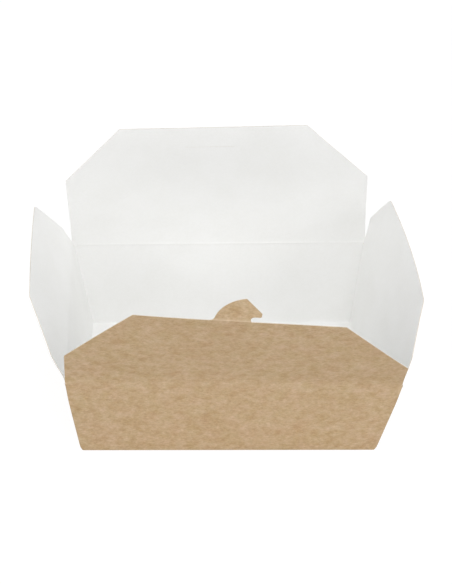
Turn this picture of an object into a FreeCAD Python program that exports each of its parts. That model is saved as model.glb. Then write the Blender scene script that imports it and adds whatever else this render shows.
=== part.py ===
# Takeaway box of folded kraft board, brown outside and white inside.
# One sheet makes the tray, its folded corner ears, four closing flaps and a hooked tab.
# The sheet is split only at the folds that move.
#
# Frame: origin at the middle of the base's underside, X to the right along the long
# walls, Y to the rear, Z up. Lengths are in millimetres and angles in degrees.
# A flap's angle is 0 folded out flat, 90 upright and 180 closed.
import FreeCAD, Part
import os

import Sketcher

SIZES = [
    # tray
    ("rim_width", 215.0, "across the end walls at the rim"),
    ("rim_depth", 160.0, "across the long walls at the rim"),
    ("base_width", 195.0, "long side of the base"),
    ("base_depth", 140.0, "short side of the base"),
    ("wall_height", 65.0, "base to the level where the rim sizes are taken"),
    ("board", 0.45, "thickness of the board"),
    ("outer_round", 0.9, "outside radius of the folds round the base"),
    ("ear_along", 44.6, "length of a corner ear along the rim"),
    ("ear_inset", 0.25, "ear's edge back from the long wall's face"),
    ("ear_lift", 1.2, "ear's lowest point up the end wall"),
    # folds: the flaps close one over another, so each pair has its own level
    ("front_fold", 65.5, "height of the front fold"),
    ("rear_fold", 64.85, "height of the rear fold"),
    ("side_fold", 64.2, "height of the two end folds"),
    ("bead", 0.27, "radius of the rounded fold at a flap's root"),
    ("fold_gap", 0.15, "space between a fold and the edge it turns on"),
    ("corner_cut", 0.3, "end walls' cut short of the long walls' inside"),
    ("trim", 1.0, "spare height of the walls before the rim is cut"),
    ("rim_reach", 5.0, "reach of the rim's cuts to each side of a wall"),
    # front flap
    ("front_angle", 69.7, "front flap as it stands open"),
    ("front_length", 75.0, "front flap from fold to edge"),
    ("clip", 45.0, "cut corners of the front and rear flaps"),
    ("set_in", 0.9, "a flap's root in from the corner of the rim"),
    ("taper", 1.5, "a flap's sides drawn in over its length"),
    ("tip_round", 1.5, "rounding of the flaps' cut corners"),
    # lock tab, measured from the middle of the front flap's edge
    ("tab_bend", 15.0, "tab's lean inwards from the front flap"),
    ("tab_foot", -16.9, "left end of the tab's foot"),
    ("tab_back", -13.6, "where the curved back begins"),
    ("tab_back_up", 2.4, "height of that place"),
    ("tab_peak", 2.5, "right end of the curved back"),
    ("tab_peak_up", 18.3, "height of the tab"),
    ("tab_brow", 4.2, "upper end of the straight front"),
    ("tab_brow_up", 17.5, "height of that place"),
    ("tab_hook", 12.8, "tip of the hook"),
    ("tab_hook_top", 7.5, "upper corner of the hook"),
    ("tab_hook_low", 4.2, "underside of the hook"),
    ("tab_notch", 8.7, "where the notch behind the hook rounds off"),
    ("tab_neck", 7.1, "right end of the tab's foot"),
    ("tab_neck_up", 0.74, "height where the notch meets the foot"),
    ("tab_foot_round", 3.2, "radius of the left foot"),
    ("tab_back_round", 21.7, "radius of the curved back"),
    ("tab_peak_round", 1.4, "radius of the peak"),
    ("tab_notch_round", 2.1, "radius of the notch"),
    ("tab_room", 0.5, "space at each end of the tab's fold"),
    # rear flap
    ("rear_angle", 93.0, "rear flap as it stands open"),
    ("rear_length", 101.0, "rear flap from fold to edge"),
    ("slit_from_fold", 85.0, "slit's distance from the rear fold"),
    ("slit_middle", -4.5, "slit's middle, to the left of the flap's"),
    ("slit_length", 32.0, "length of the slit"),
    ("slit_width", 1.1, "width of the slit, enough for the tab to pass"),
    # end flaps
    ("left_angle", 66.5, "left flap as it stands open"),
    ("right_angle", 77.4, "right flap as it stands open"),
    ("side_length", 52.0, "end flaps from fold to edge"),
    ("side_set_in", 1.5, "an end flap's root in from the corner of the rim"),
    ("side_clip_up", 32.5, "cut corners of the end flaps, across"),
    ("side_clip_along", 25.0, "cut corners of the end flaps, along the fold"),
    ("side_round", 4.0, "rounding of the end flaps' cut corners"),
]

doc = FreeCAD.newDocument("takeaway_box")
sheet = doc.addObject("Spreadsheet::Sheet", "sizes")
for row, (alias, value, note) in enumerate(SIZES, start=1):
    sheet.set(f"A{row}", alias)
    sheet.set(f"B{row}", str(value))
    sheet.set(f"C{row}", note)
    sheet.setAlias(f"B{row}", alias)
doc.recompute()

# Sizes that follow from the sheet, as formulas.
FLARE_X = "(sizes.rim_width - sizes.base_width) / 2 / sizes.wall_height"
FLARE_Y = "(sizes.rim_depth - sizes.base_depth) / 2 / sizes.wall_height"
FLARE_ANGLE = f"atan({FLARE_X})"
SKIN_X = f"sizes.board / 2 / cos(atan({FLARE_X}))"
SKIN_Y = f"sizes.board / 2 / cos(atan({FLARE_Y}))"
FRONT_TOP = "sizes.front_fold - sizes.bead - sizes.fold_gap"
REAR_TOP = "sizes.rear_fold - sizes.bead - sizes.fold_gap"
SIDE_TOP = "sizes.side_fold - sizes.bead - sizes.fold_gap"


def half_width(level):
    """Distance from the middle to the end walls' board at a height."""
    return f"(sizes.base_width / 2 + ({level}) * {FLARE_X})"


def half_depth(level):
    """Distance from the middle to the long walls' board at a height."""
    return f"(sizes.base_depth / 2 + ({level}) * {FLARE_Y})"


FRONT_Y = half_depth("sizes.front_fold")
REAR_Y = half_depth("sizes.rear_fold")
SIDE_X = half_width("sizes.side_fold")


def number(text):
    """The present value of a formula."""
    result = sheet.evalExpression(text)
    return float(getattr(result, "Value", result))


def new_body(name):
    """An empty body labelled with the name of its piece."""
    body = doc.addObject("PartDesign::Body", name)
    body.Label = name
    return body


def plane_of(body, role):
    """One of the body's own origin planes."""
    return next(f for f in body.Origin.OriginFeatures if f.Role == role)


def new_sketch(body, name, role, shift=(0, 0, 0), turn_axis=None, turn=None):
    """A sketch on an origin plane, moved and turned in that plane's own frame by formulas."""
    sketch = body.newObject("Sketcher::SketchObject", name)
    sketch.AttachmentSupport = [(plane_of(body, role), "")]
    sketch.MapMode = "FlatFace"
    axis = FreeCAD.Vector(*(turn_axis or (0, 0, 1)))
    angle = number(turn) if turn else 0
    place = FreeCAD.Vector(*(number(str(part)) for part in shift))
    sketch.AttachmentOffset = FreeCAD.Placement(place, FreeCAD.Rotation(axis, angle))
    for letter, part in zip("xyz", shift):
        if part != 0:
            sketch.setExpression(f"AttachmentOffset.Base.{letter}", part)
    if turn:
        sketch.setExpression("AttachmentOffset.Rotation.Angle", turn)
    return sketch


def bind(sketch, kind, name, formula, *where):
    """A named dimension of a sketch that follows a formula."""
    index = sketch.addConstraint(Sketcher.Constraint(kind, *where, number(formula)))
    sketch.renameConstraint(index, name)
    sketch.setExpression(f"Constraints.{name}", formula)


def outline(sketch, corners, rounds=None, tag=""):
    """A closed outline through corners given as pairs of formulas.

    rounds maps the number of a side to (radius formula, bulge): that side is an arc, on
    the left of its direction of travel for a bulge of 1 and on the right for -1.
    """
    rounds = rounds or {}
    points = [FreeCAD.Vector(number(a), number(b), 0) for a, b in corners]
    first = sketch.GeometryCount
    count = len(points)
    starts = []
    for i, start in enumerate(points):
        end = points[(i + 1) % count]
        if i not in rounds:
            sketch.addGeometry(Part.LineSegment(start, end), False)
            starts.append(1)
            continue
        radius, bulge = number(rounds[i][0]), rounds[i][1]
        chord = end - start
        rise = radius - (radius ** 2 - (chord.Length / 2) ** 2) ** 0.5
        side = FreeCAD.Vector(-chord.y, chord.x, 0).normalize() * bulge
        ends_of_arc = (end, start) if bulge > 0 else (start, end)
        arc = Part.Arc(ends_of_arc[0], (start + end) / 2 + side * rise, ends_of_arc[1])
        sketch.addGeometry(arc, False)
        starts.append(2 if bulge > 0 else 1)
    for i in range(count):
        after = (i + 1) % count
        sketch.addConstraint(
            Sketcher.Constraint(
                "Coincident", first + i, 3 - starts[i], first + after, starts[after]
            )
        )
    for i, (a, b) in enumerate(corners):
        spot = (first + i, starts[i])
        if a == "0":
            sketch.addConstraint(Sketcher.Constraint("PointOnObject", *spot, -2))
        else:
            bind(sketch, "DistanceX", f"across{tag}{i}", a, -1, 1, *spot)
        if b == "0":
            sketch.addConstraint(Sketcher.Constraint("PointOnObject", *spot, -1))
        else:
            bind(sketch, "DistanceY", f"up{tag}{i}", b, -1, 1, *spot)
    for i in rounds:
        bind(sketch, "Radius", f"radius{tag}{i}", rounds[i][0], first + i)


def rectangle(sketch, half_across, half_up, tag=""):
    """A rectangle about the sketch's origin."""
    outline(
        sketch,
        [
            (f"-({half_across})", f"-({half_up})"),
            (half_across, f"-({half_up})"),
            (half_across, half_up),
            (f"-({half_across})", half_up),
        ],
        tag=tag,
    )


def circle(sketch, across, up, radius):
    """A circle with its middle at a pair of formulas."""
    middle = FreeCAD.Vector(number(across), number(up), 0)
    index = sketch.addGeometry(Part.Circle(middle, FreeCAD.Vector(0, 0, 1), number(radius)))
    bind(sketch, "DistanceX", "middle_across", across, -1, 1, index, 3)
    bind(sketch, "DistanceY", "middle_up", up, -1, 1, index, 3)
    bind(sketch, "Radius", "radius", radius, index)


def pad(body, name, sketch, length, both_ways=False):
    """A pad of a sketch."""
    feature = body.newObject("PartDesign::Pad", name)
    feature.Profile = sketch
    feature.setExpression("Length", length)
    if both_ways:
        feature.SideType = "Symmetric"
    doc.recompute()
    return feature


def pocket(body, name, sketch, length, both_ways=False, reverse=False):
    """A pocket that must take something away."""
    before = body.Shape.Volume
    feature = body.newObject("PartDesign::Pocket", name)
    feature.Profile = sketch
    feature.Reversed = reverse
    feature.setExpression("Length", length)
    if both_ways:
        feature.SideType = "Symmetric"
    doc.recompute()
    if feature.Shape.Volume > before - 1e-3:
        raise RuntimeError(f"{name} cuts nothing")
    return feature


def draft(body, name, base, faces, angle):
    """Leans the named faces outwards from the ground plane."""
    feature = body.newObject("PartDesign::Draft", name)
    feature.Base = (base, faces)
    feature.NeutralPlane = (plane_of(body, "XY_Plane"), [""])
    feature.Reversed = True
    feature.setExpression("Angle", angle)
    doc.recompute()
    return feature


def fillet(body, name, base, edges, radius):
    """Rounds the named edges of the feature before it."""
    feature = body.newObject("PartDesign::Fillet", name)
    feature.Base = (base, edges)
    feature.setExpression("Radius", radius)
    doc.recompute()
    return feature


def edge_names(feature, wanted):
    """Names of the edges that the test picks, given both of their ends."""
    names = []
    for i, edge in enumerate(feature.Shape.Edges, start=1):
        if len(edge.Vertexes) == 2 and wanted(*(v.Point for v in edge.Vertexes)):
            names.append(f"Edge{i}")
    return names


def face_names(feature, wanted):
    """Names of the flat faces whose outward direction the test picks."""
    faces = enumerate(feature.Shape.Faces, start=1)
    return [f"Face{i}" for i, face in faces if wanted(face.normalAt(0, 0))]


def crossing_edges(feature, apart):
    """Edges that run through the board where the test of a point allows it."""
    board = number("sizes.board")
    return edge_names(
        feature, lambda a, b: abs((a - b).Length - board) < 1e-3 and apart(a) and apart(b)
    )


# Tray: base, four flared walls and the ears folded against the end walls.
tray = new_body("tray")


foot = new_sketch(tray, "foot", "XY_Plane")
rectangle(foot, f"{half_width('0')} + {SKIN_X}", f"{half_depth('0')} + {SKIN_Y}")
block = pad(tray, "block", foot, "sizes.front_fold + sizes.trim")
end_faces = face_names(block, lambda way: abs(way.x) > 0.9)
end_lean = draft(tray, "end_walls_lean", block, end_faces, f"atan({FLARE_X})")
long_faces = face_names(end_lean, lambda way: abs(way.y) > 0.9)
long_lean = draft(tray, "long_walls_lean", end_lean, long_faces, f"atan({FLARE_Y})")
top = number(FRONT_TOP)
outer_folds = edge_names(long_lean, lambda a, b: min(a.z, b.z) < top - 1)
outer_round = fillet(tray, "outer_round", long_lean, outer_folds, "sizes.outer_round")
hollow = tray.newObject("PartDesign::Thickness", "hollow")
hollow.Base = (outer_round, face_names(outer_round, lambda way: way.z > 0.9))
hollow.Reversed = True
hollow.setExpression("Value", "sizes.board")
doc.recompute()

# Each wall stops short of its fold. The end walls are the lowest and the front the highest.
INSIDE_Y = f"({half_depth(SIDE_TOP)} - {SKIN_Y} - sizes.corner_cut)"
OUTSIDE_X = f"({half_width(SIDE_TOP)} + sizes.rim_reach)"
OUTSIDE_Y = f"({half_depth(SIDE_TOP)} + sizes.rim_reach)"
INSIDE_X = f"({half_width(SIDE_TOP)} - sizes.rim_reach)"


def above(level):
    """Height from a level to the top of the untrimmed walls."""
    return f"sizes.front_fold + sizes.trim - ({level})"


rim = new_sketch(tray, "rim", "XY_Plane", shift=(0, 0, FRONT_TOP))
rectangle(rim, OUTSIDE_X, OUTSIDE_Y)
pocket(tray, "rim_trimmed", rim, above(FRONT_TOP), reverse=True)
rear_rim = new_sketch(tray, "rear_rim", "XY_Plane", shift=(0, 0, REAR_TOP))
outline(
    rear_rim,
    [
        (f"-{OUTSIDE_X}", INSIDE_Y),
        (OUTSIDE_X, INSIDE_Y),
        (OUTSIDE_X, OUTSIDE_Y),
        (f"-{OUTSIDE_X}", OUTSIDE_Y),
    ],
)
pocket(tray, "rear_wall_lowered", rear_rim, above(REAR_TOP), reverse=True)
end_rims = new_sketch(tray, "end_rims", "XY_Plane", shift=(0, 0, SIDE_TOP))
for tag, side in (("left", "-"), ("right", "")):
    near, far = f"{side}{INSIDE_X}", f"{side}{OUTSIDE_X}"
    outline(
        end_rims,
        [(near, f"-{INSIDE_Y}"), (far, f"-{INSIDE_Y}"), (far, INSIDE_Y), (near, INSIDE_Y)],
        tag=tag,
    )
pocket(tray, "end_walls_lowered", end_rims, above(SIDE_TOP), reverse=True)

# Each ear is the corner of the sheet folded double, so it is two boards thick.
ears = new_sketch(
    tray,
    "ears",
    "YZ_Plane",
    shift=(0, 0, "sizes.base_width / 2"),
    turn_axis=(1, 0, 0),
    turn=FLARE_ANGLE,
)


def ear_edge(up):
    """The ear's edge along the corner, at a distance up the end wall."""
    level = f"({up}) * cos({FLARE_ANGLE})"
    return f"({half_depth(level)} + {SKIN_Y} - sizes.ear_inset)"


EAR_TOP = f"(({SIDE_TOP}) / cos({FLARE_ANGLE}))"
for tag, side in (("front", "-"), ("rear", "")):
    outline(
        ears,
        [
            (f"{side}{ear_edge('sizes.ear_lift')}", "sizes.ear_lift"),
            (f"{side}{ear_edge(EAR_TOP)}", EAR_TOP),
            (f"{side}({ear_edge(EAR_TOP)} - sizes.ear_along)", EAR_TOP),
        ],
        tag=tag,
    )
right_ears = pad(tray, "right_ears", ears, "sizes.board * 2.5")
left_ears = tray.newObject("PartDesign::Mirrored", "left_ears")
left_ears.Originals = [right_ears]
left_ears.MirrorPlane = (plane_of(tray, "YZ_Plane"), [""])
tray.Tip = left_ears
doc.recompute()


def long_flap_corners(length, root_in):
    """Outline of the front or rear flap, from its fold at 0 up to its edge."""
    root = f"(sizes.rim_width / 2 - {root_in})"
    low = f"({root} - sizes.taper * ({length} - sizes.clip) / {length})"
    high = f"({root} - sizes.taper - sizes.clip)"
    return [
        (f"-{root}", "0"),
        (root, "0"),
        (low, f"{length} - sizes.clip"),
        (high, length),
        (f"-{high}", length),
        (f"-{low}", f"{length} - sizes.clip"),
    ]


# Front flap, with a shallow cut in its edge where the tab's fold turns.
front_flap = new_body("front_flap")
front_shape = new_sketch(
    front_flap,
    "front_outline",
    "XY_Plane",
    shift=(0, f"-{FRONT_Y}", "sizes.front_fold"),
    turn_axis=(1, 0, 0),
    turn="180 - sizes.front_angle",
)
corners = long_flap_corners("sizes.front_length", "sizes.set_in")
TAB_CUT = "sizes.front_length - sizes.bead - sizes.fold_gap"
CUT_LEFT = "(sizes.tab_foot - sizes.tab_room)"
CUT_RIGHT = "(sizes.tab_neck + sizes.tab_room)"
corners[4:4] = [
    (CUT_RIGHT, "sizes.front_length"),
    (CUT_RIGHT, TAB_CUT),
    (CUT_LEFT, TAB_CUT),
    (CUT_LEFT, "sizes.front_length"),
]
outline(front_shape, corners)
front_plate = pad(front_flap, "front_board", front_shape, "sizes.board", both_ways=True)
clip_inner = number("sizes.clip")
front_round = fillet(
    front_flap,
    "front_corners",
    front_plate,
    crossing_edges(front_plate, lambda p: abs(p.x) > clip_inner and p.z > top + 5),
    "sizes.tip_round",
)
front_root = new_sketch(front_flap, "front_fold_round", "YZ_Plane")
circle(front_root, f"-{FRONT_Y}", "sizes.front_fold", "sizes.bead")
ROOT_LENGTH = "sizes.rim_width - 2 * sizes.set_in"
pad(front_flap, "front_fold_bead", front_root, ROOT_LENGTH, both_ways=True)

# Lock tab, bent inwards at its own fold on the front flap's edge.
lock_tab = new_body("lock_tab")
TAB_Y = f"(-{FRONT_Y} - sizes.front_length * cos(sizes.front_angle))"
TAB_Z = "(sizes.front_fold + sizes.front_length * sin(sizes.front_angle))"
tab_shape = new_sketch(
    lock_tab,
    "tab_outline",
    "XY_Plane",
    shift=(0, TAB_Y, TAB_Z),
    turn_axis=(1, 0, 0),
    turn="180 - sizes.front_angle - sizes.tab_bend",
)
outline(
    tab_shape,
    [
        ("sizes.tab_foot", "0"),
        ("sizes.tab_neck", "0"),
        ("sizes.tab_neck", "sizes.tab_neck_up"),
        ("sizes.tab_notch", "sizes.tab_hook_low"),
        ("sizes.tab_hook", "sizes.tab_hook_low"),
        ("sizes.tab_hook", "sizes.tab_hook_top"),
        ("sizes.tab_brow", "sizes.tab_brow_up"),
        ("sizes.tab_peak", "sizes.tab_peak_up"),
        ("sizes.tab_back", "sizes.tab_back_up"),
    ],
    rounds={
        2: ("sizes.tab_notch_round", 1),
        6: ("sizes.tab_peak_round", -1),
        7: ("sizes.tab_back_round", -1),
        8: ("sizes.tab_foot_round", 1),
    },
)
pad(lock_tab, "tab_board", tab_shape, "sizes.board", both_ways=True)
tab_root = new_sketch(lock_tab, "tab_fold_round", "YZ_Plane", shift=(0, 0, "sizes.tab_foot"))
circle(tab_root, TAB_Y, TAB_Z, "sizes.bead")
pad(lock_tab, "tab_fold_bead", tab_root, "sizes.tab_neck - sizes.tab_foot")

# Rear flap, with the slit that takes the tab.
rear_flap = new_body("rear_flap")
rear_place = {
    "shift": (0, REAR_Y, "sizes.rear_fold"),
    "turn_axis": (1, 0, 0),
    "turn": "sizes.rear_angle",
}
rear_shape = new_sketch(rear_flap, "rear_outline", "XY_Plane", **rear_place)
outline(rear_shape, long_flap_corners("sizes.rear_length", "sizes.set_in"))
rear_plate = pad(rear_flap, "rear_board", rear_shape, "sizes.board", both_ways=True)
rear_round = fillet(
    rear_flap,
    "rear_corners",
    rear_plate,
    crossing_edges(rear_plate, lambda p: p.z > top + 5),
    "sizes.tip_round",
)
slit = new_sketch(rear_flap, "slit", "XY_Plane", **rear_place)
SLIT_LEFT = "(sizes.slit_middle - sizes.slit_length / 2)"
SLIT_RIGHT = "(sizes.slit_middle + sizes.slit_length / 2)"
SLIT_LOW = "(sizes.slit_from_fold - sizes.slit_width / 2)"
SLIT_HIGH = "(sizes.slit_from_fold + sizes.slit_width / 2)"
outline(
    slit,
    [
        (SLIT_LEFT, SLIT_LOW),
        (SLIT_RIGHT, SLIT_LOW),
        (SLIT_RIGHT, SLIT_HIGH),
        (SLIT_LEFT, SLIT_HIGH),
    ],
)
pocket(rear_flap, "slit_cut", slit, "sizes.board * 2", both_ways=True)
rear_root = new_sketch(rear_flap, "rear_fold_round", "YZ_Plane")
circle(rear_root, REAR_Y, "sizes.rear_fold", "sizes.bead")
pad(rear_flap, "rear_fold_bead", rear_root, ROOT_LENGTH, both_ways=True)


def end_flap(name, side, turn):
    """An end flap. side is -1 for the left one and 1 for the right one."""
    body = new_body(name)
    sign = "-" if side < 0 else ""
    shape = new_sketch(
        body,
        f"{name}_outline",
        "XY_Plane",
        shift=(f"{sign}{SIDE_X}", 0, "sizes.side_fold"),
        turn_axis=(0, 1, 0),
        turn=turn,
    )
    root = "(sizes.rim_depth / 2 - sizes.side_set_in)"
    straight = "(sizes.side_length - sizes.side_clip_up)"
    low = f"({root} - sizes.taper * {straight} / sizes.side_length)"
    high = f"({root} - sizes.taper - sizes.side_clip_along)"
    outline(
        shape,
        [
            ("0", f"-{root}"),
            (straight, f"-{low}"),
            ("sizes.side_length", f"-{high}"),
            ("sizes.side_length", high),
            (straight, low),
            ("0", root),
        ],
    )
    plate = pad(body, f"{name}_board", shape, "sizes.board", both_ways=True)
    fillet(
        body,
        f"{name}_corners",
        plate,
        crossing_edges(plate, lambda p: p.z > top + 5),
        "sizes.side_round",
    )
    fold = new_sketch(body, f"{name}_fold_round", "XZ_Plane")
    circle(fold, f"{sign}{SIDE_X}", "sizes.side_fold", "sizes.bead")
    pad(body, f"{name}_fold_bead", fold, f"2 * {root}", both_ways=True)
    return body


left_flap = end_flap("left_flap", -1, "sizes.left_angle - 180")
right_flap = end_flap("right_flap", 1, "-sizes.right_angle")

doc.recompute()
bodies = [tray, front_flap, lock_tab, rear_flap, left_flap, right_flap]
for item in doc.Objects:
    if "Invalid" in item.State or "Error" in item.State:
        raise RuntimeError(f"{item.Name} failed: {item.State}")
for body in bodies:
    shape = body.Shape
    if shape.isNull() or not shape.isValid() or len(shape.Solids) != 1:
        raise RuntimeError(f"{body.Label} is not one valid solid")

os.makedirs("parts", exist_ok=True)
for body in bodies:
    body.Shape.exportStep(f"parts/{body.Label}.step")
    box = body.Shape.BoundBox
    print(
        f"{body.Label}: {body.Shape.Volume:.1f} mm3, "
        f"x {box.XMin:.2f} {box.XMax:.2f}, y {box.YMin:.2f} {box.YMax:.2f}, "
        f"z {box.ZMin:.2f} {box.ZMax:.2f}"
    )
print(
    f"folds: front y {-number(FRONT_Y):.4f}, rear y {number(REAR_Y):.4f}, "
    f"ends x {number(SIDE_X):.4f}, tab y {number(TAB_Y):.4f} z {number(TAB_Z):.4f}"
)
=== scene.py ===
# A takeaway box of folded kraft board, standing open: tray, four closing flaps and a hooked tab.
# One sheet makes the box, brown fibre outside and coated white inside. Each piece below is that
# sheet between two folds, with its real thickness, and it replaces the matching solid.
#
# Lengths are in millimetres in the frame of the solid model, X along the long walls, Y to the
# rear and Z up, and become metres where a mesh is made. A flap's angle is 0 folded out flat, 90
# upright and 180 closed.
import math

import bmesh
import bpy
import numpy as np
from mathutils import Matrix, Vector


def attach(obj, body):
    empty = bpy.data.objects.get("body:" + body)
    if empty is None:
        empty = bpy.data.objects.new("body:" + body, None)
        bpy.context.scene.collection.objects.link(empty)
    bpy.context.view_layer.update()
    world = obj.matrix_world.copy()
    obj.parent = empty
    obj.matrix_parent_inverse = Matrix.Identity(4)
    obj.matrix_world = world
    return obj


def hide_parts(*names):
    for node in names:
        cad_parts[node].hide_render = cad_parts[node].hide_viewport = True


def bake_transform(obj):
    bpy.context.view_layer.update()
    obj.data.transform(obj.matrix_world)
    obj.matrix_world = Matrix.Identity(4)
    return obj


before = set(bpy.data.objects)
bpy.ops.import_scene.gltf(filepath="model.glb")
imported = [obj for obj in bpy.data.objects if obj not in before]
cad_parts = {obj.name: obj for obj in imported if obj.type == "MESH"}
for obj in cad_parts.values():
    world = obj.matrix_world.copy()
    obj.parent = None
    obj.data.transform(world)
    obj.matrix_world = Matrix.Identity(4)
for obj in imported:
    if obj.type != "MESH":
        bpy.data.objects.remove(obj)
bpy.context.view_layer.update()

MM = 0.001

# The board and the square tray
BOARD = 0.45
HALF = BOARD / 2
BASE = (97.5, 70.0)
RIM = (107.5, 80.0)
RIM_Z = 65.0
REACH = {"front": RIM[0], "rear": RIM[0], "left": RIM[1], "right": RIM[1]}
OUTWARD = {"front": (0, -1, 0), "rear": (0, 1, 0), "left": (-1, 0, 0), "right": (1, 0, 0)}
FLARE = (RIM[0] - BASE[0]) / RIM_Z
LEAN = math.atan(FLARE)
SKIN = HALF / math.cos(LEAN)
FOOT_ROUND = 1.3
CORNER_IN = 0.4
CORNER_OUT = 0.85

# Corner ears: the folded corner of the sheet, two plies glued to the end wall
EAR = 2 * BOARD / math.cos(LEAN)
EAR_ALONG = 44.6
EAR_LEAST = 3.0
EAR_LIFT = 1.2
EAR_FADE = 4.0
EAR_PINCH = 0.7
EAR_PINCH_FROM = 45.0
EAR_CORNER_SHARE = 0.35
EAR_STEP = 0.03
# The line between the two plies, as (share of the way outwards, depth)
PLY_GROOVE = ((0.42, 0), (0.5, 0.14), (0.58, 0))

# Levels: the tray's mesh ends at the seam, and each flap's mesh begins there and holds the fold
SEAM = 63.0
EAR_TOP = 63.4
CORNER_TOP = {"front": 64.7, "rear": 64.1, "end": 63.9}
FOLD = {"front": 65.5, "rear": 64.85, "left": 64.2, "right": 64.2}
BEND = 1.1
ROOT_IN = 1.2
END_ROOT_IN = 1.6
ROOT_STEP = 0.1

# Score lines: a faint groove on the kraft side, and a bead on the white side
GROOVE = 0.02
BEAD = {"front": 0.1, "rear": 0.2, "left": 0.06, "right": 0.06}

# The mesh: columns round the tray, and rows up its foot and its walls
LONG_COLUMNS = 44
MIDDLE_COLUMNS = 26
ARC_STEPS = 5
EAR_SHARES = (0.12, 0.25, 0.4, 0.55, 0.7, 0.85)
EAR_EDGE_TURNS = [math.radians(angle) for angle in (0, 30, 60, 90)]
FOOT_STEPS = 6
WALL_ROWS = 20
WALL_ROWS_TOP = 60.0
WALL_ROWS_CROWDING = 1.15
# The rim steps down ROOT_GAP beside a flap's root, and round a corner the ear's two plies begin at
# the turn PLIES_FROM
ROOT_GAP = 0.001
PLIES_FROM = math.radians(60)
# Points closer than WELD become one, edges shorter than SLIVER go, and bends past SHARP are edges
WELD = 0.004
SLIVER = 0.001
SHARP = math.radians(38)

# The card doesn't stand quite square. The rim's corners and the foot of the front wall lie off
# the square tray by this much, and the walls between them follow.
RIM_SHIFT = {
    (-1, -1): (3.1, 0.1, 1.9),
    (1, -1): (0.0, -0.2, -1.5),
    (-1, 1): (0.1, -0.1, -0.5),
    (1, 1): (-2.2, 0.0, 1.5),
}
FOOT_SHIFT = {
    (-1, -1): (1.1, 0.8, 0.0),
    (1, -1): (-0.6, -1.8, 0.0),
    (-1, 1): (2.8, 0.0, 0.0),
    (1, 1): (2.5, 0.0, 0.0),
}


def unit(v):
    v = np.asarray(v, float)
    return v / np.linalg.norm(v)


def smooth(t):
    t = min(1.0, max(0.0, t))
    return t * t * (3 - 2 * t)


def rack(p):
    """Where a point of the square tray lies in the tray as it stands."""
    p = np.asarray(p, float)
    up = p[2] / RIM_Z
    across, deep = p[0] / (BASE[0] + p[2] * FLARE), p[1] / (BASE[1] + p[2] * FLARE)
    moved = p.copy()
    for (sx, sy), rim in RIM_SHIFT.items():
        share = (1 + sx * across) / 2 * (1 + sy * deep) / 2
        moved += share * (up * np.array(rim) + (1 - up) * np.array(FOOT_SHIFT[sx, sy]))
    return moved


class Sheet:
    """Collects the vertices and faces of one piece. Faces are kraft, white or cut edge."""

    KRAFT, WHITE, EDGE = 0, 1, 2

    def __init__(self):
        self.points = []
        self.wear = []
        self.faces = []
        self.kinds = []

    def add(self, point, wear=0.0):
        self.points.append(np.asarray(point, float))
        self.wear.append(wear)
        return len(self.points) - 1

    def face(self, corners, kind):
        self.faces.append(list(corners))
        self.kinds.append(kind)

    def strip(self, a, b, kinds):
        """Quads between two rows of vertices of equal length. kinds is one kind or a list."""
        for i in range(len(a) - 1):
            kind = kinds[i] if isinstance(kinds, list) else kinds
            self.face((a[i], a[i + 1], b[i + 1], b[i]), kind)

    def make(self, name):
        mesh = bpy.data.meshes.new(name)
        mesh.from_pydata([tuple(p * MM) for p in self.points], [], self.faces)
        for face, kind in zip(mesh.polygons, self.kinds):
            face.material_index = kind
        worn = mesh.attributes.new("wear", "FLOAT", "POINT")
        worn.data.foreach_set("value", self.wear)
        welded = bmesh.new()
        welded.from_mesh(mesh)
        bmesh.ops.remove_doubles(welded, verts=welded.verts, dist=WELD * MM)
        bmesh.ops.dissolve_degenerate(welded, edges=welded.edges, dist=SLIVER * MM)
        bmesh.ops.recalc_face_normals(welded, faces=welded.faces)
        welded.to_mesh(mesh)
        welded.free()
        place = mesh.attributes.new("rest_place", "FLOAT_VECTOR", "POINT")
        coords = np.zeros(len(mesh.vertices) * 3, np.float32)
        mesh.vertices.foreach_get("co", coords)
        place.data.foreach_set("vector", coords / MM)
        mesh.shade_smooth()
        mesh.set_sharp_from_angle(angle=SHARP)
        piece = bpy.data.objects.new(name, mesh)
        bpy.context.scene.collection.objects.link(piece)
        for material in (kraft, white, cut_edge):
            mesh.materials.append(material)
        return piece


# Materials

def node(tree, kind, place, **inputs):
    made = tree.nodes.new(kind)
    made.location = place
    for name, value in inputs.items():
        made.inputs[name.replace("_", " ")].default_value = value
    return made


def new_material(name):
    material = bpy.data.materials.new(name)
    material.use_nodes = True
    tree = material.node_tree
    shader = tree.nodes["Principled BSDF"]
    place = tree.nodes.new("ShaderNodeAttribute")
    place.attribute_name = "rest_place"
    place.location = (-1400, 0)
    return material, tree, shader, place.outputs["Vector"]


def noise(tree, place, scale, detail, roughness, location, stretch=(1, 1, 1)):
    """A noise texture over the sheet, its scale in cells per millimetre."""
    mapping = node(tree, "ShaderNodeMapping", (location[0] - 200, location[1]))
    mapping.inputs["Scale"].default_value = stretch
    tree.links.new(place, mapping.inputs["Vector"])
    texture = node(tree, "ShaderNodeTexNoise", location, Scale=scale, Detail=detail)
    texture.inputs["Roughness"].default_value = roughness
    tree.links.new(mapping.outputs["Vector"], texture.inputs["Vector"])
    return texture.outputs["Fac"]


def ramp(tree, value, low, high, location, tones):
    """The first tone below low, the second above high, and their mixtures between."""
    made = node(tree, "ShaderNodeValToRGB", location)
    made.color_ramp.elements[0].position = low
    made.color_ramp.elements[1].position = high
    for element, tone in zip(made.color_ramp.elements, tones):
        element.color = (*tone, 1)
    tree.links.new(value, made.inputs["Fac"])
    return made.outputs["Color"]


def mixed(tree, blend, factor, a, b, location):
    made = tree.nodes.new("ShaderNodeMix")
    made.data_type = "RGBA"
    made.blend_type = blend
    made.location = location
    made.inputs["Factor"].default_value = factor
    tree.links.new(a, made.inputs["A"])
    tree.links.new(b, made.inputs["B"])
    return made.outputs["Result"]


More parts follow.
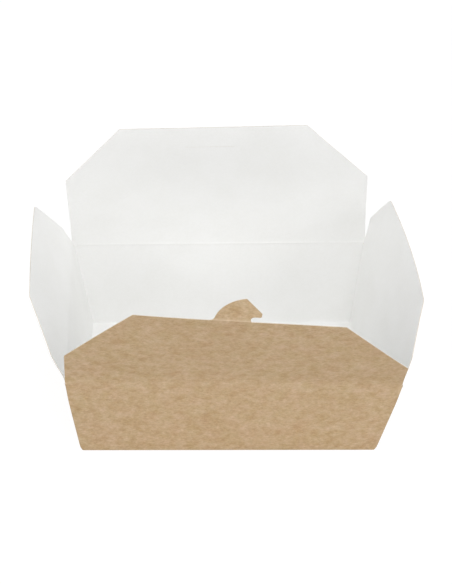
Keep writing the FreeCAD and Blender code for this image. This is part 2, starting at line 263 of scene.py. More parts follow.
def added(tree, a, b, weight, location):
    """a times the weight, plus b, which may be None for nothing."""
    made = tree.nodes.new("ShaderNodeMath")
    made.operation = "MULTIPLY_ADD"
    made.location = location
    tree.links.new(a, made.inputs[0])
    made.inputs[1].default_value = weight
    if b is None:
        made.inputs[2].default_value = 0
    else:
        tree.links.new(b, made.inputs[2])
    return made.outputs[0]


def bump(tree, shader, height, distance, strength, location):
    made = node(tree, "ShaderNodeBump", location, Strength=strength, Distance=distance)
    tree.links.new(height, made.inputs["Height"])
    tree.links.new(made.outputs["Normal"], shader.inputs["Normal"])


def srgb(r, g, b):
    """A colour given in display values from 0 to 255, as linear light."""
    shares = (r / 255, g / 255, b / 255)
    return tuple(c / 12.92 if c <= 0.04045 else ((c + 0.055) / 1.055) ** 2.4 for c in shares)


def make_kraft():
    """Unbleached board: cloudy mottling in faintly warmer and cooler browns, short fibres along
    the box, a few dark flecks, and paler rubbed fibre where the board is creased hard."""
    material, tree, shader, place = new_material("kraft_board")
    cloud = noise(tree, place, 0.075, 3, 0.55, (-1000, 500))
    colour = ramp(tree, cloud, 0.34, 0.66, (-780, 500), (srgb(193, 163, 123), srgb(210, 185, 152)))
    mottle = noise(tree, place, 0.22, 5, 0.72, (-1000, 250), (0.8, 1, 1))
    tint = ramp(tree, mottle, 0.34, 0.66, (-780, 250), (srgb(180, 146, 101), srgb(230, 210, 183)))
    colour = mixed(tree, "MIX", 0.55, colour, tint, (-500, 450))
    blush = noise(tree, place, 0.09, 3, 0.55, (-1000, 0))
    hue = ramp(tree, blush, 0.36, 0.64, (-780, 0), (srgb(209, 177, 143), srgb(203, 180, 137)))
    colour = mixed(tree, "MIX", 0.35, colour, hue, (-300, 400))
    fibres = noise(tree, place, 1.1, 4, 0.75, (-1000, -250), (0.45, 1, 1))
    strands = ramp(tree, fibres, 0.3, 0.7, (-780, -250), (srgb(216, 210, 203), srgb(255, 255, 255)))
    colour = mixed(tree, "MULTIPLY", 0.85, colour, strands, (-100, 350))
    across = noise(tree, place, 1.7, 3, 0.7, (-1000, -500), (1, 0.3, 0.3))
    flecks = ramp(tree, across, 0.66, 0.74, (-780, -500), (srgb(255, 255, 255), srgb(205, 190, 172)))
    colour = mixed(tree, "MULTIPLY", 0.6, colour, flecks, (100, 300))
    wear = tree.nodes.new("ShaderNodeAttribute")
    wear.attribute_name = "wear"
    wear.location = (100, 500)
    rubbed = node(tree, "ShaderNodeRGB", (100, 100))
    rubbed.outputs[0].default_value = (*srgb(232, 213, 184), 1)
    colour = mixed(tree, "MIX", 0.0, colour, rubbed.outputs[0], (300, 300))
    share = added(tree, wear.outputs["Fac"], None, 0.5, (200, 450))
    tree.links.new(share, colour.node.inputs["Factor"])
    tree.links.new(colour, shader.inputs["Base Color"])
    shader.inputs["Roughness"].default_value = 0.82
    shader.inputs["Specular IOR Level"].default_value = 0.25
    height = added(tree, fibres, None, 0.6, (-500, -300))
    height = added(tree, mottle, height, 0.9, (-300, -300))
    bump(tree, shader, height, 0.00012, 0.45, (-100, -300))
    return material


def make_white():
    """Clay coated side under a thin film: nearly even white with faint clouds and a soft sheen."""
    material, tree, shader, place = new_material("coated_white")
    cloud = noise(tree, place, 0.045, 3, 0.5, (-1000, 400))
    colour = ramp(tree, cloud, 0.35, 0.65, (-780, 400), (srgb(241, 241, 239), srgb(245, 245, 244)))
    fine = noise(tree, place, 0.6, 4, 0.6, (-1000, 150))
    tint = ramp(tree, fine, 0.35, 0.65, (-780, 150), (srgb(241, 241, 239), srgb(245, 245, 244)))
    colour = mixed(tree, "MIX", 0.5, colour, tint, (-500, 350))
    tree.links.new(colour, shader.inputs["Base Color"])
    sheen = noise(tree, place, 0.25, 3, 0.6, (-1000, -150))
    limits = {"From_Min": 0.3, "From_Max": 0.7, "To_Min": 0.42, "To_Max": 0.54}
    gloss = node(tree, "ShaderNodeMapRange", (-780, -150), **limits)
    tree.links.new(sheen, gloss.inputs["Value"])
    tree.links.new(gloss.outputs["Result"], shader.inputs["Roughness"])
    shader.inputs["Specular IOR Level"].default_value = 0.35
    waves = noise(tree, place, 0.035, 2, 0.5, (-1000, -400))
    height = added(tree, fine, None, 0.06, (-500, -300))
    height = added(tree, waves, height, 4.0, (-300, -300))
    bump(tree, shader, height, 0.0001, 0.35, (-100, -300))
    return material


def make_cut_edge():
    """The die cut edge: pale fibre with the layers of the board just showing."""
    material, tree, shader, place = new_material("cut_edge")
    fibres = noise(tree, place, 2.5, 4, 0.7, (-1000, 300))
    colour = ramp(tree, fibres, 0.3, 0.7, (-780, 300), (srgb(214, 205, 192), srgb(234, 227, 216)))
    tree.links.new(colour, shader.inputs["Base Color"])
    shader.inputs["Roughness"].default_value = 0.9
    bump(tree, shader, fibres, 0.0001, 0.5, (-100, -300))
    return material


kraft, white, cut_edge = make_kraft(), make_white(), make_cut_edge()


# Tray

def ear_length(z):
    """How far the ear reaches along the end wall at a height, from the corner."""
    return max(EAR_LEAST, EAR_ALONG * (z - EAR_LIFT) / (FOLD["left"] - EAR_LIFT))


def ear_edge(z):
    """Where the ear's folded edge begins to round off."""
    return ear_length(z) - BOARD


def past_ear(z):
    return ear_length(z) + EAR_STEP


def ear_thickness(z):
    """The ear's two plies rise from nothing at the foot and are pinched together at the rim."""
    pinch = EAR_PINCH * smooth((z - EAR_PINCH_FROM) / (SEAM - EAR_PINCH_FROM))
    return EAR * smooth(z / EAR_FADE) * (1 - pinch)


class Column:
    """One vertical line of the tray's mesh, from the base's rounded edge to the rim.
    place(row, layer) gives the point of a row of the section, inside (0) or outside (1). top and
    ear_top are the heights of the wall and of the ear there, ear is the ear's share of its
    thickness, and group says which straight side of the base the column stands on, if any."""

    def __init__(self, place, top, ear_top, ear, group):
        self.place, self.top, self.ear_top = place, top, ear_top
        self.ear, self.group = ear, group


def half_sizes(offset):
    return BASE[0] + offset, BASE[1] + offset


FOOT_IN = (HALF - FOOT_ROUND * (1 - math.sin(LEAN))) / math.cos(LEAN)


def section(layer):
    """The tray's profile on one layer: rows of (outward offset, height, corner radius, share of
    the ear's thickness)."""
    radius = FOOT_ROUND if layer else FOOT_ROUND - BOARD
    corner = CORNER_OUT if layer else CORNER_IN
    last = math.pi / 2 - LEAN
    rows = []
    for i in range(FOOT_STEPS + 1):
        turn = last * i / FOOT_STEPS
        share = math.sin(turn) / math.sin(last)
        offset, z = FOOT_IN + radius * math.sin(turn), FOOT_ROUND - radius * math.cos(turn)
        rows.append((offset, z, corner * share, share))
    side = SKIN if layer else -SKIN
    lowest = rows[-1][1]
    for i in range(1, WALL_ROWS + 1):
        z = lowest + (WALL_ROWS_TOP - lowest) * (i / WALL_ROWS) ** WALL_ROWS_CROWDING
        rows.append((side + z * FLARE, z, corner, 1.0))
    return rows


SECTION = (section(0), section(1))


def wall_point(side, along, z, out):
    """A point of a wall of the square tray, out from the middle of the board."""
    hx, hy = half_sizes(z * FLARE + out)
    if side in ("front", "rear"):
        return along, hy * OUTWARD[side][1], z
    return hx * OUTWARD[side][0], along, z


def long_column(sy, share, root):
    """A column of a long wall. share runs from -1 to 1 along the wall, and root says that the
    flap's card begins there."""

    def place(row, layer):
        offset, z, _, _ = row
        return (share * (BASE[0] + z * FLARE), sy * (BASE[1] + offset), z)

    side = "front" if sy < 0 else "rear"
    top = SEAM if root else CORNER_TOP[side]
    return Column(place, top, top, 0.0, side)


def end_column(sx, sy, distance, thick, root):
    """A column of an end wall, given by its distance from the corner as a function of height."""

    def place(row, layer):
        offset, z, _, share = row
        x = BASE[0] + offset + (thick * ear_thickness(z) * share if layer else 0)
        return (sx * x, sy * (BASE[1] + z * FLARE - distance(z)), z)

    top = ear_top = CORNER_TOP["end"]
    if root:
        top, ear_top = SEAM, EAR_TOP if thick else SEAM
    return Column(place, top, ear_top, thick, "right" if sx > 0 else "left")


def arc_column(sx, sy, turn):
    """A column round a corner. turn is 0 at the long wall and 90 degrees at the end wall."""

    def place(row, layer):
        offset, z, corner, share = row
        thick = ear_thickness(z) * share if layer else 0
        radius = corner + EAR_CORNER_SHARE * thick
        hx, hy = half_sizes(offset)
        x = hx + thick - radius * (1 - math.sin(turn))
        return (sx * x, sy * (hy - radius * (1 - math.cos(turn))), z)

    share = turn / (math.pi / 2)
    long_side = "front" if sy < 0 else "rear"
    top = CORNER_TOP[long_side] * (1 - share) + CORNER_TOP["end"] * share
    return Column(place, top, top, 1.0 if turn > PLIES_FROM else 0.0, None)


def tray_columns():
    """All columns, anticlockwise from the left end of the front wall."""
    root = 1 - ROOT_IN / RIM[0]
    inner = list(np.linspace(-root, root, LONG_COLUMNS + 1))
    shares = [-root - ROOT_GAP] + inner + [root + ROOT_GAP]
    flags = [False] + [True] * (LONG_COLUMNS + 1) + [False]
    turns = [math.pi / 2 * i / ARC_STEPS for i in range(ARC_STEPS + 1)]
    near = [(lambda z: END_ROOT_IN - ROOT_STEP, 1.0, False), (lambda z: END_ROOT_IN, 1.0, True)]
    for share in EAR_SHARES:
        near.append((lambda z, s=share: END_ROOT_IN + (ear_edge(z) - END_ROOT_IN) * s, 1.0, True))
    for turn in EAR_EDGE_TURNS:
        thick = (1 + math.cos(turn)) / 2
        near.append((lambda z, a=turn: ear_edge(z) + BOARD * math.sin(a), thick, True))
    near.append((past_ear, 0.0, True))

    def middle(share):
        return lambda z: past_ear(z) + 2 * (BASE[1] + z * FLARE - past_ear(z)) * share

    def end(sx, first):
        columns = [end_column(sx, first, *column) for column in near]
        for i in range(1, MIDDLE_COLUMNS):
            columns.append(end_column(sx, first, middle(i / MIDDLE_COLUMNS), 0.0, True))
        return columns + [end_column(sx, -first, *column) for column in reversed(near)]

    columns = [long_column(-1, s, r) for s, r in zip(shares, flags)]
    columns += [arc_column(1, -1, t) for t in turns]
    columns += end(1, -1)
    columns += [arc_column(1, 1, t) for t in reversed(turns)]
    columns += [long_column(1, s, r) for s, r in zip(reversed(shares), reversed(flags))]
    columns += [arc_column(-1, 1, t) for t in turns]
    columns += end(-1, 1)
    columns += [arc_column(-1, -1, t) for t in reversed(turns)]
    return columns


def tray_rows(column):
    """The points of a column from the inside of the base, over the rim and down to the underside,
    with the kind of face that follows each."""
    points, kinds = [], []
    for row in SECTION[0]:
        points.append(column.place(row, 0))
        kinds.append(Sheet.WHITE)
    points.append(column.place((column.top * FLARE - SKIN, column.top, CORNER_IN, 1.0), 0))
    kinds.append(Sheet.EDGE)
    top_out = (column.top * FLARE + SKIN, column.top, CORNER_OUT, 1.0)
    ear_out = (column.ear_top * FLARE + SKIN, column.ear_top, CORNER_OUT, 1.0)
    outer, outer_top = np.array(column.place(top_out, 1)), np.array(column.place(ear_out, 1))
    inner = np.array(column.place((column.top * FLARE + SKIN, column.top, CORNER_IN, 1.0), 0))
    inner_top = np.array(column.place((column.ear_top * FLARE + SKIN, column.ear_top, CORNER_IN, 1.0), 0))
    if column.ear == 0:
        inner, inner_top = outer, outer_top
    points += [tuple(inner), tuple(inner_top)]
    kinds += [Sheet.KRAFT, Sheet.EDGE]
    for share, depth in PLY_GROOVE:
        ply = inner_top * (1 - share) + outer_top * share
        ply[2] -= depth * column.ear
        points.append(tuple(ply))
        kinds.append(Sheet.EDGE)
    points.append(tuple(outer_top))
    kinds.append(Sheet.KRAFT)
    for row in reversed(SECTION[1]):
        points.append(column.place(row, 1))
        kinds.append(Sheet.KRAFT)
    return points, kinds[:-1]


def make_tray():
    sheet = Sheet()
    columns = tray_columns()
    lines = []
    for column in columns:
        points, kinds = tray_rows(column)
        lines.append([sheet.add(rack(p)) for p in points])
    for a, b in zip(lines, lines[1:] + lines[:1]):
        sheet.strip(a, b, kinds)
    for layer, kind in enumerate((Sheet.WHITE, Sheet.KRAFT)):
        row = SECTION[layer][0]
        hx, hy = half_sizes(row[0])
        xs = [-hx] + [c.place(row, layer)[0] for c in columns if c.group == "front"] + [hx]
        ys = [-hy] + [c.place(row, layer)[1] for c in columns if c.group == "right"] + [hy]
        grid = [[sheet.add(rack((x, y, row[1]))) for x in xs] for y in ys]
        for a, b in zip(grid, grid[1:]):
            sheet.strip(a, b, kind)
    return sheet.make("tray_card")


# Flaps

# Rows through the fold, and how far to each side of a point its slope is measured
FOLD_ROWS = 8
PROBE = 0.5


def arc_points(a, b, radius, convex, steps=5):
    """Points along an arc from a to b, without a itself. A convex arc turns left."""
    a, b = np.asarray(a, float), np.asarray(b, float)
    chord = b - a
    length = np.linalg.norm(chord)
    side = np.array([-chord[1], chord[0]]) / length * (1 if convex else -1)
    centre = (a + b) / 2 + side * math.sqrt(max(radius ** 2 - (length / 2) ** 2, 0))
    start, stop = (math.atan2(*(p - centre)[::-1]) for p in (a, b))
    turn = (stop - start) % (2 * math.pi) if convex else -((start - stop) % (2 * math.pi))
    angles = [start + turn * i / steps for i in range(1, steps + 1)]
    return [centre + radius * np.array([math.cos(t), math.sin(t)]) for t in angles]


def rounded(before, corner, after, radius, steps=4):
    """The rounded corner between two straight lines, as points."""
    before, corner, after = (np.asarray(p, float) for p in (before, corner, after))
    one, two = unit(before - corner), unit(after - corner)
    angle = math.acos(np.clip(one @ two, -1, 1))
    reach = radius / math.tan(angle / 2)
    start, stop = corner + one * reach, corner + two * reach
    shares = np.linspace(0, 1, steps + 1)
    return [(1 - t) ** 2 * start + 2 * t * (1 - t) * corner + t ** 2 * stop for t in shares]


def side_chain(root, low, tip, beyond, radius, cells):
    """One side of a flap's outline from its root, round its two corners, to its free edge. cells
    gives the number of steps up to the first corner and the shares of the way to the second."""
    first = rounded(root, low, tip, radius)
    second = rounded(low, tip, beyond, radius)
    steps = np.linspace(0, 1, cells[0] + 1)[:-1]
    lower = [np.asarray(root, float) * (1 - t) + first[0] * t for t in steps]
    upper = [first[-1] * (1 - t) + second[0] * t for t in cells[1]]
    return lower + first + upper + second


class Flap:
    """A flap's place: the wall it folds from, the fold line and the plane it stands in."""

    def __init__(self, side, angle, length, soft, bow, bow_half, twist=0.0, droop=0.0, rolled=False):
        """soft is how far up the spring of the fold reaches. The rest are in millimetres out of
        the plane at the free edge: bow in its middle, nothing bow_half away; twist at its right
        end and the opposite at its left; droop at its right end alone."""
        self.side, self.length, self.soft, self.rolled = side, length, soft, rolled
        self.bow, self.bow_half, self.twist, self.droop = bow, bow_half, twist, droop
        self.level = FOLD[side]
        a = rack(wall_point(side, -REACH[side], self.level, 0))
        b = rack(wall_point(side, REACH[side], self.level, 0))
        self.middle = (a + b) / 2
        self.half = np.linalg.norm(b - a) / 2
        self.along = unit(b - a)
        self.out = np.array(OUTWARD[side], float)
        flat = unit(self.out - (self.out @ self.along) * self.along)
        upward = np.cross(self.along, flat)
        upward = upward if upward[2] > 0 else -upward
        turn = math.radians(angle)
        self.up = flat * math.cos(turn) + upward * math.sin(turn)
        self.normal = flat * math.sin(turn) - upward * math.cos(turn)
        wall_up = unit(self.wall(0, 0) - self.wall(0, -1))
        self.spring = (wall_up @ self.normal) / (wall_up @ self.up)

    def wall(self, u, v, offset=0.0):
        """The wall under the fold, v being negative there."""
        z = self.level + v * math.cos(LEAN)
        along = u * REACH[self.side] / self.half
        return rack(wall_point(self.side, along, z, offset / math.cos(LEAN)))

    def ease(self, v):
        """How far the card, leaving the fold in line with its wall, stands off the flap's plane for
        each unit of slope between the two. A rolled flap eases over without bending back."""
        left = max(0.0, 1 - v / self.soft)
        if self.rolled:
            return self.soft / 3 * (1 - left ** 3 - v / self.length)
        return v * left ** 2

    def plane(self, u, v):
        """The middle of the card above the fold, u along it and v up from it."""
        part = u / self.half
        high = v / self.length
        lift = self.twist * part * high + self.bow * (1 - (u / self.bow_half) ** 2) * high ** 2
        lift += self.droop * max(0.0, part) ** 2 * high * (2 - high)
        if v > 0:
            lift += self.spring * self.ease(v)
        return self.middle + self.along * u + self.up * v + self.normal * lift

    def point(self, u, v, offset):
        """A point of the card, offset out of its middle towards the kraft side."""
        if v <= -BEND:
            return self.wall(u, v, offset)
        fold = self.middle + self.along * u
        wall_up = unit(self.wall(u, 0) - self.wall(u, -1))
        wall_out = unit(np.cross(self.along, wall_up))
        wall_out = wall_out if wall_out @ self.out > 0 else -wall_out
        if v >= BEND:
            across = self.plane(u + PROBE, v) - self.plane(u - PROBE, v)
            onward = self.plane(u, v + PROBE) - self.plane(u, v - PROBE)
            face = unit(np.cross(across, onward))
            face = face if face @ self.normal > 0 else -face
            return self.plane(u, v) + face * offset
        t = (v + BEND) / (2 * BEND)
        middle = fold - wall_up * BEND * (1 - t) ** 2 + (self.plane(u, BEND) - fold) * t ** 2
        face = unit(wall_out * (1 - t) + self.normal * t)
        press = (1 - (2 * t - 1) ** 2) ** 2
        return middle + face * (offset - press * (GROOVE if offset > 0 else BEAD[self.side]))


def outline(flap, root_in, swell, corners, radius, cells):
    """Rows of a flap: for each, its left and its right end as (u, v). The root is set in from the
    wall's ends under the fold, and swells above it to the flap's own width."""
    root = flap.half - root_in
    low_left, tip_left, tip_right, low_right = (np.array(c, float) for c in corners)
    left = side_chain((-root - swell[0], BEND), low_left, tip_left, tip_right, radius, cells)
    right = side_chain((root + swell[1], BEND), low_right, tip_right, tip_left, radius, cells)
    under = (SEAM - flap.level) / math.cos(LEAN)
    if under < -BEND:
        levels = [under, (under - BEND) / 2] + list(np.linspace(-BEND, BEND, FOLD_ROWS + 1))
    else:
        levels = list(np.linspace(under, BEND, FOLD_ROWS + 1))
    levels.pop()
    rows = []
    for v in levels:
        share = smooth((v + BEND) / BEND)
        rows.append(((-root - swell[0] * share, v), (root + swell[1] * share, v)))
    return rows + list(zip(left, right))


def make_card(name, flap, rows, columns, hole=None):
    """The solid card over the rows. hole is (first row, first column, last column) of a slit."""
    sheet = Sheet()
    layers = []
    for offset in (-HALF, HALF):
        grid = []
        for left, right in rows:
            left, right = np.asarray(left, float), np.asarray(right, float)
            ends = [left * (1 - s) + right * s for s in columns]
            grid.append([sheet.add(flap.point(u, v, offset)) for u, v in ends])
        layers.append(grid)
    for grid, kind in zip(layers, (Sheet.WHITE, Sheet.KRAFT)):
        for i in range(len(rows) - 1):
            for j in range(len(columns) - 1):
                if hole and i == hole[0] and hole[1] <= j < hole[2]:
                    continue
                sheet.face((grid[i][j], grid[i][j + 1], grid[i + 1][j + 1], grid[i + 1][j]), kind)
    rims = [[(0, j) for j in range(len(columns))], [(len(rows) - 1, j) for j in range(len(columns))]]
    rims += [[(i, 0) for i in range(len(rows))], [(i, len(columns) - 1) for i in range(len(rows))]]
    if hole:
        i, first, last = hole
        rims += [[(k, j) for j in range(first, last + 1)] for k in (i, i + 1)]
        rims += [[(i, j), (i + 1, j)] for j in (first, last)]
    for rim in rims:
        inner, outer = ([grid[i][j] for i, j in rim] for grid in layers)
        sheet.strip(inner, outer, Sheet.EDGE)
    return sheet.make(name)


def shifted(corners, moves):
    return [(u + du, v + dv) for (u, v), (du, dv) in zip(corners, moves)]


# The flaps' outlines. A corner is (along the fold, up from it), from the low left one round to the
# low right one: first where the sheet is cut, then how far it stands off that on the skewed card.
# The long flaps widen to TAPER_END, and their tips are clipped over LONG_CLIP to TIP_HALF.
LONG_CLIP = 45.0
FRONT_LENGTH = 75.0
REAR_LENGTH = 101.0
TAPER_END = 106.0
TIP_HALF = 62.5
END_LENGTH = 52.0
END_TIP_HALF = 55.0
END_LOW_HALF = 78.5
END_LOW_UP = 19.5
TIP_ROUND = 1.5
END_ROUND = 4.0


def cut_corners(low_half, low_up, tip_half, length):
    return [(-low_half, low_up), (-tip_half, length), (tip_half, length), (low_half, low_up)]


FRONT_CUT = cut_corners(TAPER_END, FRONT_LENGTH - LONG_CLIP, TIP_HALF, FRONT_LENGTH)
REAR_CUT = cut_corners(TAPER_END, REAR_LENGTH - LONG_CLIP, TIP_HALF, REAR_LENGTH)
END_CUT = cut_corners(END_LOW_HALF, END_LOW_UP, END_TIP_HALF, END_LENGTH)

FRONT_CORNERS = shifted(FRONT_CUT, [(0.6, 0.4), (-1.9, 3.7), (-3.5, -2.7), (-1.2, -7.4)])
REAR_CORNERS = shifted(REAR_CUT, [(-3.3, -3.0), (-7.9, -4.1), (-5.0, -1.2), (-2.0, 0.0)])
LEFT_CORNERS = shifted(END_CUT, [(2.3, 1.5), (0.0, 0.9), (-6.8, 5.1), (-1.2, -2.1)])
RIGHT_CORNERS = shifted(END_CUT, [(1.3, 1.3), (-5.0, 1.3), (1.6, 0.7), (3.8, 1.3)])

front = Flap("front", 68.3, FRONT_LENGTH, 14.0, 0.8, TIP_HALF, twist=1.85, droop=3.0, rolled=True)
rear = Flap("rear", 93.0, REAR_LENGTH, REAR_LENGTH, -0.6, 2 * TIP_HALF)
left = Flap("left", 66.5, END_LENGTH, 15.0, 0.9, END_TIP_HALF, twist=0.6)
right = Flap("right", 78.4, END_LENGTH, 15.0, 2.3, END_TIP_HALF, twist=-0.5)

# How far each end of a flap's root swells above its fold
FRONT_SWELL = (1.4, 0.7)
REAR_SWELL = (2.1, 2.1)
END_SWELL = (0.0, 0.0)

# The slit for the tab, a knife cut
LOCK_SLIT_UP = 85.0
SLIT_WIDTH = 0.08
SLIT_ENDS = (-26.0, 8.5)

# Mesh of the flaps: rows up to the first corner and on to the second, columns across
FRONT_ROWS, REAR_ROWS, END_ROWS = (12, 18), (22, 18), (7, 13)
LONG_CELLS, END_CELLS = 72, 56
# Rows and columns nearer than these shares to the slit's own give way to them
SLIT_ROOM_UP, SLIT_ROOM_ALONG = 0.02, 0.004


def inner_shares(count):
    return np.linspace(0, 1, count + 1)[1:-1]


def make_front():
    cells = (FRONT_ROWS[0], inner_shares(FRONT_ROWS[1]))
    rows = outline(front, ROOT_IN, FRONT_SWELL, FRONT_CORNERS, TIP_ROUND, cells)
    return make_card("front_flap_card", front, rows, np.linspace(0, 1, LONG_CELLS + 1))


def make_rear():
    """The rear flap, with two of its rows a slit's width apart and open between the slit's ends."""
    low = REAR_LENGTH - LONG_CLIP
    middle = (LOCK_SLIT_UP - low) / LONG_CLIP
    half = SLIT_WIDTH / 2 / LONG_CLIP
    up = [t for t in inner_shares(REAR_ROWS[1]) if abs(t - middle) > SLIT_ROOM_UP]
    up = sorted(up + [middle - half, middle + half])
    rows = outline(rear, ROOT_IN, REAR_SWELL, REAR_CORNERS, TIP_ROUND, (REAR_ROWS[0], up))
    lefts = [left_end[1] for left_end, _ in rows]
    first = min(range(len(rows) - 1), key=lambda i: abs(lefts[i + 1] - lefts[i] - SLIT_WIDTH))
    start, stop = rows[first]
    shares = [(u - start[0]) / (stop[0] - start[0]) for u in SLIT_ENDS]
    columns = np.linspace(0, 1, LONG_CELLS + 1)
    columns = [c for c in columns if min(abs(c - share) for share in shares) > SLIT_ROOM_ALONG]
    columns = sorted(columns + shares)
    hole = (first, columns.index(shares[0]), columns.index(shares[1]))
    return make_card("rear_flap_card", rear, rows, columns, hole)


def make_end(name, flap, corners):
    cells = (END_ROWS[0], inner_shares(END_ROWS[1]))
    rows = outline(flap, END_ROOT_IN, END_SWELL, corners, END_ROUND, cells)
    return make_card(name, flap, rows, np.linspace(0, 1, END_CELLS + 1))


# Lock tab, drawn from a point on the front flap's free edge, TAB_SHIFT from its middle
TAB_BEND = 15.0
TAB_CREASE = 1.2
TAB_CREASE_ROWS = 5
TAB_SHIFT = -4.1
# Cuts that divide the tab into cells, up it and along it
TAB_CUTS_UP = np.arange(2.5, 18, 1.5)
TAB_CUTS_ALONG = np.arange(-15, 12, 1.5)


def tab_outline():
    """The tab's outline as (along, up): foot, hook, straight end, rounded nose and long back."""
    points = [np.array((-17.2, 0.0)), np.array((7.5, 0.0)), np.array((7.5, 0.74))]
    points += arc_points(points[-1], (9.1, 4.2), 2.1, False)
    points += [np.array((12.3, 4.2)), np.array((13.0, 4.6)), np.array((13.1, 7.3)), np.array((3.7, 17.7))]
    points += arc_points(points[-1], (2.1, 18.6), 1.4, True)
    points += arc_points(points[-1], (-13.8, 2.6), 20.8, True, steps=16)
    points += arc_points(points[-1], (-17.2, 0.0), 3.4, False)[:-1]
    return points


def make_tab():
    """The tab: its outline cut into narrow bands near the crease, bent there and leaning inwards.
    Returns the piece, the foot of its crease and the directions up the tab and up the flap."""
    flat = bmesh.new()
    flat.faces.new([flat.verts.new((a, b, 0)) for a, b in tab_outline()])
    cuts = [((0, TAB_CREASE * (i + 1) / TAB_CREASE_ROWS, 0), (0, 1, 0)) for i in range(TAB_CREASE_ROWS)]
    cuts += [((0, level, 0), (0, 1, 0)) for level in TAB_CUTS_UP]
    cuts += [((level, 0, 0), (1, 0, 0)) for level in TAB_CUTS_ALONG]
    for point, across in cuts:
        geometry = list(flat.verts) + list(flat.edges) + list(flat.faces)
        bmesh.ops.bisect_plane(flat, geom=geometry, plane_co=point, plane_no=across)
    flat.normal_update()
    edge_left, edge_right = FRONT_CORNERS[1], FRONT_CORNERS[2]
    share = -edge_left[0] / (edge_right[0] - edge_left[0])
    origin_v = edge_left[1] * (1 - share) + edge_right[1] * share
    slope = (edge_right[1] - edge_left[1]) / (edge_right[0] - edge_left[0])
    lean = math.radians(TAB_BEND)

    def base(a):
        along_edge = a + TAB_SHIFT
        return front.plane(along_edge, origin_v + slope * along_edge)

    along = unit(base(PROBE) - base(-PROBE))
    flap_up = unit(front.plane(0, origin_v) - front.plane(0, origin_v - PROBE))
    flap_up = unit(flap_up - (flap_up @ along) * along)
    out = unit(np.cross(along, flap_up))
    out = out if out @ front.normal > 0 else -out
    tab_up = flap_up * math.cos(lean) - out * math.sin(lean)
    tab_out = out * math.cos(lean) + flap_up * math.sin(lean)

    def place(a, b, offset):
        if b >= TAB_CREASE:
            face = tab_out
            rise = flap_up * TAB_CREASE / 2 + tab_up * (b - TAB_CREASE / 2)
        else:
            t = b / TAB_CREASE
            rise = flap_up * TAB_CREASE * (t - t * t / 2) + tab_up * TAB_CREASE * t * t / 2
            face = unit(out * (1 - t) + tab_out * t)
        return base(a) + rise + face * offset

    def worn(b):
        """How much the crease has paled the fibre at a height."""
        return math.exp(-((b - TAB_CREASE / 2) / (TAB_CREASE / 2)) ** 2)

    sheet = Sheet()
    inner = {v: sheet.add(place(v.co.x, v.co.y, -HALF)) for v in flat.verts}
    outer = {v: sheet.add(place(v.co.x, v.co.y, HALF), worn(v.co.y)) for v in flat.verts}
    for face in flat.faces:
        sheet.face([inner[v] for v in face.verts], Sheet.WHITE)
        sheet.face([outer[v] for v in face.verts], Sheet.KRAFT)
    for edge in flat.edges:
        if edge.is_boundary:
            a, b = edge.verts
            sheet.face((inner[a], inner[b], outer[b], outer[a]), Sheet.EDGE)
    flat.free()
    piece = sheet.make("lock_tab_card")
    return piece, base(0), tab_up, flap_up


tray = make_tray()
front_card = make_front()
rear_card = make_rear()
left_card = make_end("left_flap_card", left, LEFT_CORNERS)
right_card = make_end("right_flap_card", right, RIGHT_CORNERS)
tab_card, tab_root, tab_up, flap_up = make_tab()

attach(tray, "tray")
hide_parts("tray")


def fold_over(piece, flap, body):
    """Bakes the card's transform into its mesh and hides the flap's solid."""
    direction = unit(flap.up + unit(flap.wall(0, 0) - flap.wall(0, -1)))
    direction = unit(direction - (direction @ flap.along) * flap.along)
    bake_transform(piece)
    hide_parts(body)


fold_over(front_card, front, "front_flap")
fold_over(rear_card, rear, "rear_flap")
fold_over(left_card, left, "left_flap")
fold_over(right_card, right, "right_flap")
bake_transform(tab_card)
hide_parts("lock_tab")


# Camera, in degrees and millimetres

AZIMUTH = -4.33
ELEVATION = 35.5
ROLL = 2.36
DISTANCE = 837.2
TARGET = (0.2, 14.2, 68.5)
LENS = 75.16
SENSOR = 36


def make_camera():
    azimuth, elevation, roll = (math.radians(a) for a in (AZIMUTH, ELEVATION, ROLL))
    level = Vector((math.sin(azimuth), -math.cos(azimuth), 0))
    back = level * math.cos(elevation) + Vector((0, 0, math.sin(elevation)))
    side = (-back).cross(Vector((0, 0, 1))).normalized()
    up = side.cross(-back)
    right = side * math.cos(roll) + up * math.sin(roll)
    up = up * math.cos(roll) - side * math.sin(roll)
    data = bpy.data.cameras.new("camera")
    data.lens = LENS
    data.sensor_width = SENSOR
    camera = bpy.data.objects.new("camera", data)
    place = Matrix((right, up, back)).transposed().to_4x4()
    place.translation = (Vector(TARGET) + back * DISTANCE) * MM
    camera.matrix_world = place
    bpy.context.scene.collection.objects.link(camera)
    bpy.context.scene.camera = camera


make_camera()


# Studio, in metres and watts: softboxes all round, faint light from everywhere, and a pale floor

WORLD_LIGHT = 0.22
FLOOR_GLOW = 0.91
FLOOR_TONE = 0.8
FLOOR_SEEN_TONE = 0.15
FLOOR_HALF = 3.0
FLOOR_DROP = 0.0002
SOFTBOX = 1.2
AIM = (0.0, 0.0, 0.06)
LAMPS = [
    ("key", (0.0, -0.9, 1.6), 13.4),
    ("left_front", (-1.2, -1.3, 0.9), 9.8),
    ("right_front", (1.2, -1.3, 0.9), 10.4),
    ("left", (-1.7, 0.0, 0.9), 5.8),
    ("right", (1.7, 0.0, 0.9), 6.6),
    ("rear", (0.0, 1.8, 0.5), 8.0),
]


def either(tree, a, b, location):
    made = node(tree, "ShaderNodeMath", location)
    made.operation = "MAXIMUM"
    tree.links.new(a, made.inputs[0])
    tree.links.new(b, made.inputs[1])
    return made.outputs[0]


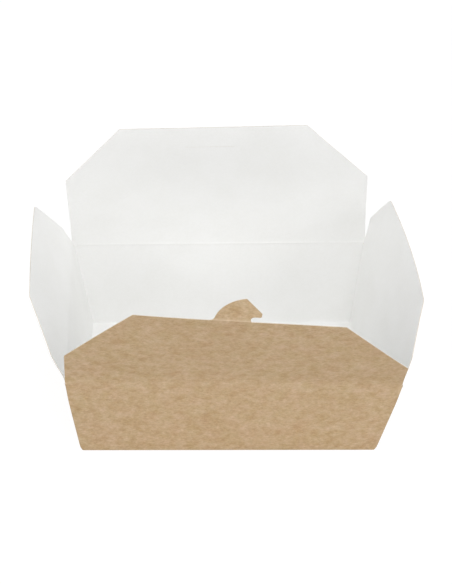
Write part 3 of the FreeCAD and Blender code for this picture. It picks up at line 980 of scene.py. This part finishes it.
def make_world():
    """Faint even light, shown as plain white to the camera and in reflections."""
    world = bpy.data.worlds.new("studio")
    bpy.context.scene.world = world
    world.use_nodes = True
    tree = world.node_tree
    tree.nodes.clear()
    path = node(tree, "ShaderNodeLightPath", (-600, 200))
    seen = either(tree, path.outputs["Is Camera Ray"], path.outputs["Is Transmission Ray"], (-400, 200))
    seen = either(tree, seen, path.outputs["Is Glossy Ray"], (-200, 200))
    light = node(tree, "ShaderNodeBackground", (-200, 0), Color=(1, 1, 1, 1), Strength=WORLD_LIGHT)
    shown = node(tree, "ShaderNodeBackground", (-200, -150), Color=(1, 1, 1, 1), Strength=1.0)
    mix = node(tree, "ShaderNodeMixShader", (0, 0))
    tree.links.new(seen, mix.inputs[0])
    tree.links.new(light.outputs[0], mix.inputs[1])
    tree.links.new(shown.outputs[0], mix.inputs[2])
    output = node(tree, "ShaderNodeOutputWorld", (200, 0))
    tree.links.new(mix.outputs[0], output.inputs["Surface"])


def make_floor():
    """A pale floor that keeps the object's shadow and otherwise shows as near white."""
    mesh = bpy.data.meshes.new("floor")
    s = FLOOR_HALF
    mesh.from_pydata([(-s, -s, 0), (s, -s, 0), (s, s, 0), (-s, s, 0)], [], [(0, 1, 2, 3)])
    floor = bpy.data.objects.new("floor", mesh)
    floor.location = (0, 0, -FLOOR_DROP)
    bpy.context.scene.collection.objects.link(floor)
    material = bpy.data.materials.new("floor")
    material.use_nodes = True
    tree = material.node_tree
    tree.nodes.clear()
    path = node(tree, "ShaderNodeLightPath", (-600, 300))
    plain = node(tree, "ShaderNodeBsdfDiffuse", (-400, 0), Color=(*[FLOOR_TONE] * 3, 1))
    faint = node(tree, "ShaderNodeBsdfDiffuse", (-400, -150), Color=(*[FLOOR_SEEN_TONE] * 3, 1))
    glow = node(tree, "ShaderNodeEmission", (-400, -300), Color=(1, 1, 1, 1), Strength=FLOOR_GLOW)
    seen = node(tree, "ShaderNodeAddShader", (-200, -200))
    tree.links.new(faint.outputs[0], seen.inputs[0])
    tree.links.new(glow.outputs[0], seen.inputs[1])
    shown = either(tree, path.outputs["Is Camera Ray"], path.outputs["Is Glossy Ray"], (-400, 300))
    mix = node(tree, "ShaderNodeMixShader", (0, 0))
    tree.links.new(shown, mix.inputs[0])
    tree.links.new(plain.outputs[0], mix.inputs[1])
    tree.links.new(seen.outputs[0], mix.inputs[2])
    output = node(tree, "ShaderNodeOutputMaterial", (200, 0))
    tree.links.new(mix.outputs[0], output.inputs["Surface"])
    mesh.materials.append(material)


def make_lamp(name, place, power):
    """A square softbox aimed at the middle of the box."""
    data = bpy.data.lights.new(name, "AREA")
    data.shape = "SQUARE"
    data.size = SOFTBOX
    data.energy = power
    lamp = bpy.data.objects.new(name, data)
    lamp.location = place
    lamp.rotation_mode = "QUATERNION"
    lamp.rotation_quaternion = (Vector(AIM) - Vector(place)).to_track_quat("-Z", "Y")
    bpy.context.scene.collection.objects.link(lamp)


make_world()
make_floor()
for name, place, power in LAMPS:
    make_lamp(name, place, power)

bpy.context.scene.view_settings.view_transform = "Standard"
